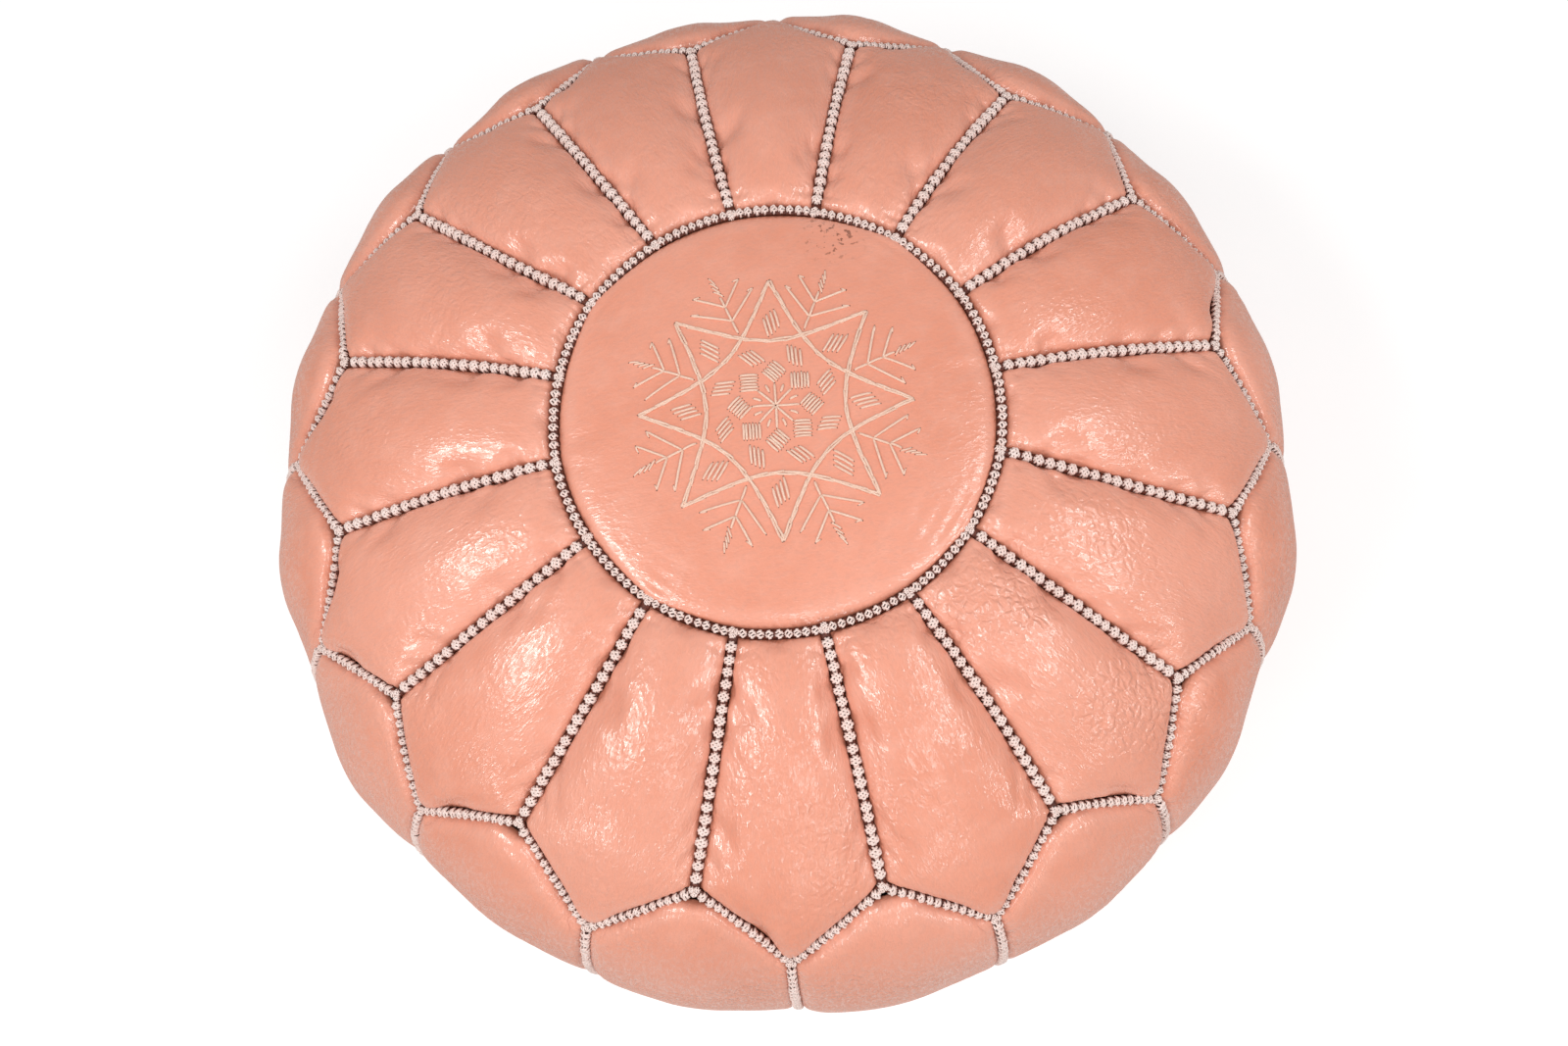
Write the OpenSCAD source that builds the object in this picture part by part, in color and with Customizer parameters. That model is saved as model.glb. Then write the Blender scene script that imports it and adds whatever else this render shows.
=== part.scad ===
// Moroccan leather pouf: a round, low, stuffed seat. A round embroidered
// medallion is ringed by petals, and side panels run down from the petals'
// points to a round base in two halves that a zip closes.
// The origin is at the middle of the base, on the floor, and +Z is up.

/* [Cover] */
// Number of petals, and of side panels
panel_count = 16; // [12:2:20]
// Radius of the seam round the medallion
medallion_r = 99; // [90:1:108]
// Height of that seam above the floor
rim_z = 303; // [290:1:315]
// Rise of the medallion's middle above its seam
medallion_rise = 7; // [4:0.5:9]
// Radius of the inner corners of the zigzag seam, where petals meet
shoulder_r = 207; // [200:1:212]
// Height of those inner corners
shoulder_z = 272; // [266:1:278]
// Radius of the petals' points
tip_r = 233; // [226:1:238]
// Height of the petals' points
tip_z = 244; // [238:1:250]
// How far a petal swells above its own edges
petal_puff = 13; // [6:0.5:15]
// How far a side panel swells out between its seams
side_puff = 8; // [4:0.5:10]
// How far the radial seams bow up between their ends
seam_bow = 4; // [0:0.5:6]
// Thickness of the leather with its turned seam allowance
leather_t = 2; // [1.5:0.1:2.5]

/* [Base] */
// Radius of the seam round the base
base_r = 190; // [180:1:196]
// Height of that seam above the floor
base_rim_z = 12; // [11:0.5:14]
// Radius of the part of the base that lies flat on the floor
base_flat_r = 158; // [150:1:160]

/* [Stitching] */
// Radius of the band of thread that covers a seam
seam_thread_r = 2.4; // [2:0.1:2.6]
// Gap between the band of thread and the leather's edge
seam_clear = 0.5; // [0.4:0.1:0.8]
// Radius of the embroidery thread
stitch_r = 0.7; // [0.5:0.05:0.9]

/* [Zip] */
// Half of the length of the row of teeth
zip_half = 150; // [120:1:152]
// Height of the zip's middle plane, recessed above the floor
zip_z = 8.5; // [8.3:0.1:8.8]
// Length of the slider
slider_length = 11; // [10:0.5:12]
// Length of the pull from its pin to its end
pull_length = 26; // [20:1:30]

/* [Hidden] */

pitch = 360 / panel_count;
half_pitch = pitch / 2;
edge_gap = seam_thread_r + seam_clear;
leather_color = [0.91, 0.63, 0.51];
thread_color = [0.90, 0.82, 0.76];
tape_color = [0.45, 0.25, 0.18];
brass_color = [0.78, 0.62, 0.34];

// Steps across and along a panel's surface
across_steps = 6;
petal_steps = 8;
side_steps = 10;

// The side's profile is a curve in radius and height. It leaves the zigzag
// seam along one of two reaches, at a shoulder and at a tip, and comes in to
// the base from the low point.
shoulder_reach = [66, -25];
tip_reach = [42, -46];
bulge_low = [276, 70];

// How a panel's puff rises and falls along it, for t from 0 to 1
function swell(t) = pow(sin(180 * t), 0.7);
function mix(a, b, t) = a * (1 - t) + b * t;
function polar(r, angle, z) = [r * cos(angle), r * sin(angle), z];
function unit(v) = v / norm(v);
function bezier(a, b, c, d, t) =
    a * pow(1 - t, 3) + 3 * b * t * pow(1 - t, 2) + 3 * c * t * t * (1 - t) + d * pow(t, 3);

// The zigzag seam's corners, around an axis that a shoulder or a tip lies on
function shoulder(angle) = polar(shoulder_r, angle, shoulder_z);
function tip(angle) = polar(tip_r, angle, tip_z);

// A petal's surface: u runs across it from -1 to 1, v outwards from 0 to 1
function petal_outer(u) = mix(tip(0), shoulder(half_pitch * sign(u)), abs(u));
function petal_slope() = unit([tip_r - medallion_r, 0, tip_z - rim_z]);
function petal_up() = [-petal_slope().z, 0, petal_slope().x];
function petal_point(u, v) =
    let (inner = polar(medallion_r, half_pitch * u, rim_z))
    let (flat = mix(inner, petal_outer(u), v))
    let (along = edge_gap * mix(1, -1.5, v))
    let (aside = edge_gap / cos(half_pitch) - min(along, 0) * tan(half_pitch))
    let (rise = petal_puff * (1 - u * u) * swell(v) + seam_bow * sin(180 * v))
    flat + along * petal_slope() - u * aside * [0, 1, 0] + rise * petal_up();

// A side panel's surface: v runs down from the zigzag seam to the base seam
function side_top(u) = mix(shoulder(0), tip(half_pitch * sign(u)), abs(u));
function side_profile(u, v) =
    let (top = side_top(u))
    let (start = [norm([top.x, top.y]), top.z])
    let (reach = mix(shoulder_reach, tip_reach, abs(u)))
    bezier(start, start + reach, bulge_low, [base_r, base_rim_z], v);
function side_point(u, v) =
    let (run = mix(0.018, 0.988, v))
    let (profile = side_profile(u, run))
    let (angle = atan2(side_top(u).y, side_top(u).x))
    let (r = profile.x + side_puff * (1 - u * u) * swell(v))
    polar(r, angle, profile.y) - u * edge_gap * [-sin(angle), cos(angle), 0];

// A closed shell, leather_t thick inwards, from grids of outer points
function grid_normal(grid, i, j) =
    let (rows = len(grid) - 1)
    let (cols = len(grid[0]) - 1)
    let (along = grid[min(i + 1, rows)][j] - grid[max(i - 1, 0)][j])
    let (across = grid[i][min(j + 1, cols)] - grid[i][max(j - 1, 0)])
    unit(cross(along, across));

module shell(grid) {
    rows = len(grid) - 1;
    cols = len(grid[0]) - 1;
    wide = cols + 1;
    count = (rows + 1) * wide;
    outer = [for (i = [0 : rows]) for (j = [0 : cols]) grid[i][j]];
    inner = [for (i = [0 : rows]) for (j = [0 : cols])
        grid[i][j] - leather_t * grid_normal(grid, i, j)];
    quads = [for (i = [0 : rows - 1]) for (j = [0 : cols - 1])
        let (a = i * wide + j)
        [a, a + 1, a + 1 + wide, a + wide]];
    skin = [for (q = quads) for (f = [[q[0], q[1], q[2]], [q[0], q[2], q[3]]]) f];
    lining = [for (f = skin) [f[2] + count, f[1] + count, f[0] + count]];
    rim = concat(
        [for (j = [0 : cols - 1]) [j, j + 1]],
        [for (i = [0 : rows - 1]) [i * wide + cols, (i + 1) * wide + cols]],
        [for (j = [cols : -1 : 1]) [rows * wide + j, rows * wide + j - 1]],
        [for (i = [rows : -1 : 1]) [i * wide, (i - 1) * wide]]
    );
    edge = [for (e = rim) for (f = [
        [e[1], e[0], e[0] + count],
        [e[1], e[0] + count, e[1] + count]
    ]) f];
    polyhedron(concat(outer, inner), concat(skin, lining, edge));
}

// An eight-sided tube along a path, closed into a ring when loop is true
tube_sides = 8;
function path_step(path, i, loop) =
    let (n = len(path))
    loop
        ? path[(i + 1) % n] - path[(i + n - 1) % n]
        : path[min(i + 1, n - 1)] - path[max(i - 1, 0)];

module tube(path, radius, loop = false) {
    n = len(path);
    points = [for (i = [0 : n - 1])
        let (ahead = unit(path_step(path, i, loop)))
        let (side = unit(cross(ahead, [path[i].x, path[i].y, path[i].z - tip_z / 2])))
        let (up = cross(side, ahead))
        for (k = [0 : tube_sides - 1])
            path[i] + radius * (cos(k * 360 / tube_sides) * side
                + sin(k * 360 / tube_sides) * up)];
    rings = loop ? n : n - 1;
    walls = [for (i = [0 : rings - 1]) for (k = [0 : tube_sides - 1])
        let (a = i * tube_sides + k)
        let (b = i * tube_sides + (k + 1) % tube_sides)
        let (c = ((i + 1) % n) * tube_sides + (k + 1) % tube_sides)
        let (d = ((i + 1) % n) * tube_sides + k)
        for (f = [[a, b, c], [a, c, d]]) f];
    ends = loop ? [] : [
        [for (k = [tube_sides - 1 : -1 : 0]) k],
        [for (k = [0 : tube_sides - 1]) (n - 1) * tube_sides + k]
    ];
    polyhedron(points, concat(walls, ends));
}

// ---- Leather ----

dome_r = (medallion_r * medallion_r + medallion_rise * medallion_rise) / (2 * medallion_rise);
dome_base_z = rim_z + medallion_rise - dome_r;

module medallion() {
    color(leather_color)
    intersection() {
        translate([0, 0, dome_base_z])
        difference() {
            sphere(dome_r, $fn = 180);
            sphere(dome_r - leather_t, $fn = 180);
        }
        translate([0, 0, rim_z - 10])
            cylinder(r = medallion_r - edge_gap, h = 40, $fn = 180);
    }
}

module petal(i) {
    grid = [for (row = [0 : petal_steps]) [for (col = [0 : across_steps])
        petal_point(2 * col / across_steps - 1, row / petal_steps)]];
    color(leather_color) rotate((i - 0.5) * pitch) shell(grid);
}

module side_panel(i) {
    grid = [for (row = [0 : side_steps]) [for (col = [0 : across_steps])
        side_point(2 * col / across_steps - 1, row / side_steps)]];
    color(leather_color) rotate((i - 1) * pitch) shell(grid);
}

// The dish that the base makes: flat, then turned up in an arc to its seam
turn_run = base_r - base_flat_r;
turn_r = (turn_run * turn_run + base_rim_z * base_rim_z) / (2 * base_rim_z);
function turn_z(r) = turn_r - sqrt(turn_r * turn_r - pow(max(r - base_flat_r, 0), 2));

module dish_space(lift) {
    rotate_extrude($fn = 180)
    difference() {
        square([base_r - edge_gap, 40]);
        polygon(concat(
            [[0, -1], [0, lift], [base_flat_r, lift]],
            [for (k = [1 : 8]) let (r = base_flat_r + turn_run * k / 8) [r, lift + turn_z(r)]],
            [[base_r, -1]]
        ));
    }
}

// The base rises beside the zip, so that the zip hangs clear of the floor
zip_gap = 5.5;
channel_shelf = 12;
channel_foot = 30;
tape_t = 0.8;
shelf_z = zip_z - tape_t / 2 - leather_t;

module channel_space(lift) {
    rotate([90, 0, 90])
    translate([0, 0, -base_r])
    linear_extrude(2 * base_r)
    polygon([
        [zip_gap, shelf_z + lift],
        [channel_shelf, shelf_z + lift],
        [channel_foot, lift],
        [base_r, lift],
        [base_r, 40],
        [zip_gap, 40]
    ]);
}

module base_half() {
    difference() {
        intersection() {
            dish_space(0);
            channel_space(0);
            translate([-base_r, 0, 0]) cube([2 * base_r, base_r, 25]);
        }
        intersection() {
            dish_space(leather_t);
            translate([0, -1, 0]) channel_space(leather_t);
        }
    }
}

module base_panel_left() {
    color(leather_color) base_half();
}

module base_panel_right() {
    color(leather_color) mirror([0, 1, 0]) base_half();
}

// The stuffing fills the cover up to its seams
stuffing_inset = 5;
stuffing_floor = 3;
channel_top = zip_z + 4;

module stuffing() {
    seam_line = [for (k = [1 : 10]) side_profile(1, k / 10)];
    flank = [for (p = seam_line) [p.x - stuffing_inset, p.y + (p.y < 60 ? stuffing_inset : 0)]];
    color([0.93, 0.91, 0.86])
    difference() {
        rotate_extrude($fn = 180)
        polygon(concat(
            [[0, stuffing_floor], [base_flat_r, stuffing_floor]],
            [for (k = [len(flank) - 1 : -1 : 0]) flank[k]],
            [[tip_r - stuffing_inset, tip_z - stuffing_inset]],
            [[medallion_r, rim_z - stuffing_inset], [0, rim_z - stuffing_inset / 2]]
        ));
        translate([-base_r, 0, 0])
        rotate([90, 0, 90])
        linear_extrude(2 * base_r)
        polygon([
            [-channel_foot - 4, 0],
            [-channel_shelf - 4, channel_top],
            [channel_shelf + 4, channel_top],
            [channel_foot + 4, 0]
        ]);
    }
}

// ---- Seam stitching ----

module medallion_seam() {
    color(thread_color)
    translate([0, 0, rim_z])
    rotate_extrude($fn = 180)
    translate([medallion_r, 0])
    circle(seam_thread_r, $fn = 24);
}

petal_seam_steps = 6;

module petal_seams() {
    start = polar(medallion_r, 0, rim_z);
    stop = shoulder(0);
    trim = 2.2 * seam_thread_r / norm(stop - start);
    path = [for (k = [0 : petal_seam_steps])
        let (t = mix(trim, 1 - 1.3 * trim, k / petal_seam_steps))
        mix(start, stop, t) + [0, 0, seam_bow * sin(180 * t)]];
    color(thread_color)
    for (i = [0 : panel_count - 1]) rotate(i * pitch) tube(path, seam_thread_r);
}

module zigzag_seams() {
    path = [for (i = [0 : panel_count - 1])
        for (p = [shoulder(i * pitch), tip((i + 0.5) * pitch)]) p];
    color(thread_color) tube(path, seam_thread_r, loop = true);
}

side_seam_steps = 12;

module side_seams() {
    path = [for (k = [0 : side_seam_steps])
        let (p = side_profile(1, mix(0.022, 0.982, k / side_seam_steps)))
        polar(p.x, half_pitch, p.y)];
    color(thread_color)
    for (i = [0 : panel_count - 1]) rotate(i * pitch) tube(path, seam_thread_r);
}

module base_seam() {
    color(thread_color)
    translate([0, 0, base_rim_z])
    rotate_extrude($fn = 180)
    translate([base_r, 0])
    circle(seam_thread_r, $fn = 24);
}

// ---- Embroidery on the medallion ----

motif_fold = 8;
motif_turn = 360 / motif_fold;

function dome_z(p) = dome_base_z + sqrt(dome_r * dome_r - p.x * p.x - p.y * p.y);
function on_dome(p) = [p.x, p.y, dome_z(p) + stitch_r + 0.1];

// One straight stitch between two points of the plan
module stitch(p, q) {
    a = on_dome(p);
    run = on_dome(q) - a;
    translate(a)
    rotate([0, acos(run.z / norm(run)), atan2(run.y, run.x)])
    cylinder(r = stitch_r, h = norm(run), $fn = 16);
}

// A row of stitches along a path, with a short gap after each one
module stitch_row(path) {
    for (k = [0 : len(path) - 2])
        stitch(mix(path[k], path[k + 1], 0.1), mix(path[k], path[k + 1], 0.9));
}

// A block of parallel stitches, centred at a distance along +X
module stitch_block(distance, count, length, spacing, lean) {
    for (k = [0 : count - 1]) {
        x = distance + (k - (count - 1) / 2) * spacing;
        stitch([x - lean / 2, -length / 2], [x + lean / 2, length / 2]);
    }
}

star_r = 0.607 * medallion_r;
star_bow = 0.05 * medallion_r;

// Two interlaced squares, whose sides bow in towards the middle
module star_side() {
    a = star_r * [1, 0];
    b = star_r * [0, 1];
    path = [for (k = [0 : 12])
        let (t = mix(0.03, 0.97, k / 12))
        mix(a, b, t) - star_bow * sin(180 * t) * [1, 1] / sqrt(2)];
    stitch_row(path);
}

// A sprig: a stem with two pairs of branches and a leaf, along +X
module sprig() {
    r = medallion_r;
    stitch_row([for (k = [0 : 3]) [mix(0.386, 0.582, k / 3) * r, 0]]);
    for (side = [-1, 1]) {
        stitch_row([for (k = [0.15, 0.6, 1]) [mix(0.451, 0.559, k) * r, side * 0.151 * r * k]]);
        stitch_row([for (k = [0.2, 1]) [mix(0.526, 0.628, k) * r, side * 0.111 * r * k]]);
    }
    for (k = [0 : 2])
        stitch([(0.60 + 0.035 * k) * r, -0.012 * r], [(0.625 + 0.035 * k) * r, 0.03 * r]);
}

module embroidery() {
    r = medallion_r;
    color(thread_color)
    for (i = [0 : motif_fold - 1]) {
        rotate(i * motif_turn) {
            star_side();
            stitch_block(0.395 * r, 4, 0.07 * r, 2.2, 1);
            stitch_block(0.159 * r, 6, 0.055 * r, 2, 1);
            stitch([0.02 * r, 0], [0.062 * r, 0]);
        }
        rotate((i + 0.5) * motif_turn) {
            sprig();
            stitch_block(0.248 * r, 4, 0.06 * r, 2, 1);
        }
    }
}

// ---- Zip ----

tooth_pitch = 3;
tooth_length = 1.5;
tooth_inner = 0.8;
tooth_outer = 2.8;
tooth_height = 2.6;
tape_half = 176;
tape_reach = 14;
stop_length = 2;

module zip_tape(side) {
    color(tape_color)
    translate([-tape_half, side > 0 ? tooth_outer : -tape_reach, zip_z - tape_t / 2])
    cube([2 * tape_half, tape_reach - tooth_outer, tape_t]);
}

module zip_tape_left() {
    zip_tape(1);
}

module zip_tape_right() {
    zip_tape(-1);
}

// The two rows are half a tooth apart, as they are when they mesh
module zip_teeth(side) {
    shift = side > 0 ? tooth_pitch / 2 : 0;
    color(brass_color)
    for (x = [-zip_half + shift : tooth_pitch : zip_half - tooth_pitch])
        translate([x, side > 0 ? tooth_inner : -tooth_outer, zip_z - tooth_height / 2])
        cube([tooth_length, tooth_outer - tooth_inner, tooth_height]);
}

module zip_teeth_left() {
    zip_teeth(1);
}

module zip_teeth_right() {
    zip_teeth(-1);
}

// A pair of stops where the zip is closed, and one across both rows where it
// is fully open
module zip_stops() {
    color(brass_color) {
        for (side = [0, 1])
            mirror([0, side, 0])
            translate([zip_half, tooth_inner, zip_z - 1.5])
            cube([stop_length, tooth_outer - tooth_inner, 3]);
        translate([-zip_half - stop_length - 1, -tooth_outer, zip_z - 1.5])
            cube([stop_length, 2 * tooth_outer, 3]);
    }
}

// The slider: two plates round the teeth, joined by a web that runs in the
// gap between the rows, with flanges beside the teeth and a bridge below
slider_x = zip_half - slider_length / 2 - 2;
slider_half_w = 4.4;
plate_t = 1;
plate_z = 1.6;
flange_w = 0.8;
flange_drop = 0.8;
web_t = 0.8;
web_length = 3;
bridge_half = 3.6;
bridge_w = 1.8;
bridge_drop = 3;
bridge_t = 0.8;
pin_z = zip_z - plate_z - plate_t - 1.05;

module slider_plate() {
    translate([-slider_length / 2, -slider_half_w, plate_z])
        cube([slider_length, 2 * slider_half_w, plate_t]);
    for (side = [0, 1])
        mirror([0, side, 0])
        translate([-slider_length / 2, slider_half_w - flange_w, plate_z - flange_drop])
        cube([slider_length, flange_w, flange_drop]);
}

module zip_slider() {
    low = -plate_z - plate_t;
    color(brass_color)
    translate([slider_x, 0, zip_z])
    union() {
        slider_plate();
        mirror([0, 0, 1]) slider_plate();
        translate([slider_length / 2 - web_length, -web_t / 2, -plate_z])
            cube([web_length, web_t, 2 * plate_z]);
        for (end = [0, 1])
            mirror([end, 0, 0])
            translate([bridge_half - bridge_t, -bridge_w / 2, low - bridge_drop])
            cube([bridge_t, bridge_w, bridge_drop]);
        translate([-bridge_half, -bridge_w / 2, low - bridge_drop])
            cube([2 * bridge_half, bridge_w, bridge_t + 0.1]);
    }
}

// The pull: a pin through the slider's bridge, two arms beside the bridge and
// a flat tab with a round end and a hole
pull_pin_r = 0.65;
pull_t = 1.2;
pull_half_w = 3.2;
arm_inner = bridge_w / 2 + 0.4;
arm_end_r = 0.75;
tab_start = 4.8;

module zip_pull() {
    color(brass_color)
    translate([slider_x, 0, pin_z]) {
        rotate([90, 0, 0])
            cylinder(r = pull_pin_r, h = 2 * arm_inner + 0.4, center = true, $fn = 32);
        for (side = [0, 1])
            mirror([0, side, 0]) {
                translate([-tab_start - 0.5, arm_inner, -pull_t / 2])
                    cube([tab_start + 0.5, pull_half_w - arm_inner, pull_t]);
                translate([0, pull_half_w, 0])
                    rotate([90, 0, 0])
                    cylinder(r = arm_end_r, h = pull_half_w - arm_inner, $fn = 32);
            }
        difference() {
            union() {
                translate([-pull_length + pull_half_w, -pull_half_w, -pull_t / 2])
                    cube([pull_length - pull_half_w - tab_start, 2 * pull_half_w, pull_t]);
                translate([-pull_length + pull_half_w, 0, -pull_t / 2])
                    cylinder(r = pull_half_w, h = pull_t, $fn = 48);
            }
            translate([-pull_length + pull_half_w, 0, -pull_t])
                cylinder(r = 1.3, h = 2 * pull_t, $fn = 32);
        }
    }
}

// ---- Every piece ----

medallion();
for (i = [1 : panel_count]) {
    number = str(i < 10 ? "0" : "", i);
    petal(i);
    side_panel(i);
}
base_panel_left();
base_panel_right();
stuffing();
medallion_seam();
petal_seams();
zigzag_seams();
side_seams();
base_seam();
embroidery();
zip_tape_left();
zip_tape_right();
zip_teeth_left();
zip_teeth_right();
zip_stops();
zip_slider();
zip_pull();
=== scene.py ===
"""Moroccan leather pouf: the visual model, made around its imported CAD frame.

The leather panels are inflated as cloth from the frame's own seams. The seams'
thread, the embroidery and the zip are laid on them afterwards.
"""

import math
import random

import bpy
import numpy as np
from mathutils import Matrix, Vector
from mathutils.bvhtree import BVHTree


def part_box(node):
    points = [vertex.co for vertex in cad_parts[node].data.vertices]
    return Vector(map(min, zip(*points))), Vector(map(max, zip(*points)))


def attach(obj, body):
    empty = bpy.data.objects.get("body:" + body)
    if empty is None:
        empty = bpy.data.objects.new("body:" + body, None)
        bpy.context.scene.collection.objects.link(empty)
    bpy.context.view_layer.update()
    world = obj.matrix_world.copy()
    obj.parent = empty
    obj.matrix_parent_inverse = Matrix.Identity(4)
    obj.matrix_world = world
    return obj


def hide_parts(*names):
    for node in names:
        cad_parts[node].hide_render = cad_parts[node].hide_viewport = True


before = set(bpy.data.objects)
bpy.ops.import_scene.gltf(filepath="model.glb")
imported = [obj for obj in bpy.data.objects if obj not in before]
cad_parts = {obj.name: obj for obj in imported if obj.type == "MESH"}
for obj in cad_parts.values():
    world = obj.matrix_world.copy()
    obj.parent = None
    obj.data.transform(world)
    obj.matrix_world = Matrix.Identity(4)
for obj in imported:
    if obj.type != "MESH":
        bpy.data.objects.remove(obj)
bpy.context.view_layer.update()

MM = 0.001
UP = np.array([0.0, 0.0, 1.0])

# ---- Sizes, from the frame ----

PANELS = sum(name.startswith("petal_") and name[-1].isdigit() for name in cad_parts)
PITCH = math.tau / PANELS


def ring_size(node):
    """Radius, height and thread radius of a seam that is a ring."""
    low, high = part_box(node)
    thread = (high.z - low.z) / 2
    return high.x - thread, (high.z + low.z) / 2, thread


RIM_R, RIM_Z, THREAD_R = ring_size("medallion_seam")
BASE_R, BASE_Z, _ = ring_size("base_seam")
zigzag_low, zigzag_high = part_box("zigzag_seams")
SHOULDER_Z = zigzag_high.z - THREAD_R
TIP_Z = zigzag_low.z + THREAD_R
TIP_R = (zigzag_high.x - THREAD_R) / math.cos(PITCH / 2)
SHOULDER_R = 0.888 * TIP_R

# The side's profile leaves a shoulder along a reach, and comes in to the base
# from the low point, as radius and height
SHOULDER_REACH = np.array([66, -25]) * MM
BULGE_LOW = np.array([276, 70]) * MM

# ---- Camera: close above the pouf and a little in front of it ----

CAMERA_HEIGHT_ANGLE = math.radians(74.7)
CAMERA_TURN = math.radians(-6.2)
CAMERA_ROLL = math.radians(-6.25)
CAMERA_DISTANCE = 0.837
CAMERA_AIM = Vector((-0.002, 0.0, RIM_Z - 0.183))
CAMERA_LENS = 34.4


def make_camera():
    data = bpy.data.cameras.new("camera")
    data.lens = CAMERA_LENS
    data.clip_start = 0.01
    camera = bpy.data.objects.new("camera", data)
    bpy.context.scene.collection.objects.link(camera)
    e = CAMERA_HEIGHT_ANGLE
    back = Vector((0, -math.cos(e), math.sin(e)))
    up = Vector((0, math.sin(e), math.cos(e)))
    axes = Matrix((Vector((1, 0, 0)), up, back)).transposed().to_4x4()
    place = Matrix.Translation(CAMERA_AIM + CAMERA_DISTANCE * back)
    turn = Matrix.Rotation(CAMERA_TURN, 4, "Z")
    roll = Matrix.Rotation(CAMERA_ROLL, 4, "Z")
    camera.matrix_world = turn @ place @ axes @ roll
    bpy.context.scene.camera = camera


make_camera()

# ---- Small helpers ----


def unit(v):
    return v / np.maximum(np.linalg.norm(v, axis=-1, keepdims=True), 1e-12)


def mix(a, b, t):
    return a * (1 - t) + b * t


def polar(r, angle, z):
    return np.array([r * math.cos(angle), r * math.sin(angle), z])


def new_mesh(name, verts, faces, material):
    mesh = bpy.data.meshes.new(name)
    mesh.from_pydata(np.asarray(verts).tolist(), [], [list(map(int, f)) for f in faces])
    mesh.polygons.foreach_set("use_smooth", [True] * len(mesh.polygons))
    mesh.update()
    obj = bpy.data.objects.new(name, mesh)
    bpy.context.scene.collection.objects.link(obj)
    if material:
        mesh.materials.append(material)
    return obj


def set_attribute(obj, name, values):
    layer = obj.data.attributes.new(name, "FLOAT", "POINT")
    layer.data.foreach_set("value", np.asarray(values, dtype=np.float32).ravel())


class Route:
    """A smooth line through space, run along from 0 to 1."""

    def __init__(self, points):
        self.points = np.asarray(points, float)
        steps = np.linalg.norm(np.diff(self.points, axis=0), axis=1)
        self.length = steps.sum()
        self.t = np.concatenate([[0], np.cumsum(steps)]) / self.length

    def at(self, t):
        return np.stack([np.interp(t, self.t, self.points[:, k]) for k in range(3)], -1)

    def direction(self, t):
        return unit(self.at(np.minimum(t + 0.01, 1)) - self.at(np.maximum(t - 0.01, 0)))


def join_routes(first, second):
    return Route(np.concatenate([first.points, second.points[1:]]))


# ---- The network of seams ----

HAND = random.Random(7)
SEAM_BOW = 4 * MM
SEAM_SWAY = 0.007


def wobble(size):
    """A small unevenness of hand work, up to size each way."""
    return HAND.uniform(-size, size)


rim_points = [
    polar(RIM_R + wobble(0.8 * MM), k * PITCH + wobble(0.008), RIM_Z) for k in range(PANELS)
]
shoulder_points = [
    polar(SHOULDER_R + wobble(2 * MM), k * PITCH + wobble(0.008), SHOULDER_Z + wobble(1 * MM))
    for k in range(PANELS)
]
tip_points = [
    polar(TIP_R + wobble(1.5 * MM), (k + 0.5) * PITCH + wobble(0.007), TIP_Z + wobble(2 * MM))
    for k in range(PANELS)
]


def rim_route(k):
    """The medallion's seam from one radial seam to the next."""
    a, b = rim_points[k], rim_points[(k + 1) % PANELS]
    t = np.linspace(0, 1, 17)[:, None]
    line = mix(a, b, t)
    outward = unit(line * [1, 1, 0])
    return Route(line + outward * 1.7 * MM * 4 * t * (1 - t))


def bowed(a, b, rise, sway):
    """From a to b, bowed up by rise and sideways by sway."""
    t = np.linspace(0, 1, 33)[:, None]
    side = unit(np.cross(b - a, UP))
    return Route(mix(a, b, t) + np.sin(math.pi * t) * (rise * UP + sway * side))


rim_seams = [rim_route(k) for k in range(PANELS)]
radial_seams = [
    bowed(rim_points[k], shoulder_points[k], SEAM_BOW, wobble(1.5 * MM)) for k in range(PANELS)
]
zigzag_out = [
    bowed(shoulder_points[k], tip_points[k], 1.5 * MM, wobble(1 * MM)) for k in range(PANELS)
]
zigzag_in = [
    bowed(tip_points[k], shoulder_points[(k + 1) % PANELS], 1.5 * MM, wobble(1 * MM))
    for k in range(PANELS)
]


def profile_curve(t):
    """The side's profile from a shoulder to the base seam, as radius and height."""
    t = np.asarray(t)[..., None]
    a, d = np.array([SHOULDER_R, SHOULDER_Z]), np.array([BASE_R, BASE_Z])
    b = a + SHOULDER_REACH
    return a * (1 - t) ** 3 + 3 * b * t * (1 - t) ** 2 + 3 * BULGE_LOW * t * t * (1 - t) + d * t**3


profile_t = np.linspace(0, 1, 401)
profile_z = profile_curve(profile_t)[:, 1]


def down_side(start, v):
    """Radius and height at v of the way from a point of the zigzag seam to the base seam."""
    r0, z0 = np.hypot(start[..., 0], start[..., 1]), start[..., 2]
    t0 = np.interp(-z0, -profile_z, profile_t)
    miss = np.stack([r0, z0], -1) - profile_curve(t0)
    spot = profile_curve(t0 + (1 - t0) * v)
    return spot + miss * ((1 - v) ** 2)[..., None]


def side_route(k):
    t = np.linspace(0, 1, 65)
    start = np.broadcast_to(tip_points[k], (len(t), 3))
    profile = down_side(start, t)
    first = math.atan2(tip_points[k][1], tip_points[k][0])
    last = (k + 0.5) * PITCH
    first += math.tau * round((last - first) / math.tau)
    angle = mix(first, last, t) + SEAM_SWAY * HAND.uniform(-1, 1) * np.sin(math.pi * t)
    r = profile[:, 0]
    return Route(np.stack([r * np.cos(angle), r * np.sin(angle), profile[:, 1]], -1))


side_seams = [side_route(k) for k in range(PANELS)]
base_ring = Route([polar(BASE_R, a, BASE_Z) for a in np.linspace(0, math.tau, 257)])

# ---- Leather panels, as grids of points ----

EDGE_GAP = 1.7 * MM
EDGE_SINK = 0.7 * MM
LEATHER_T = 1.2 * MM


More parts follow.
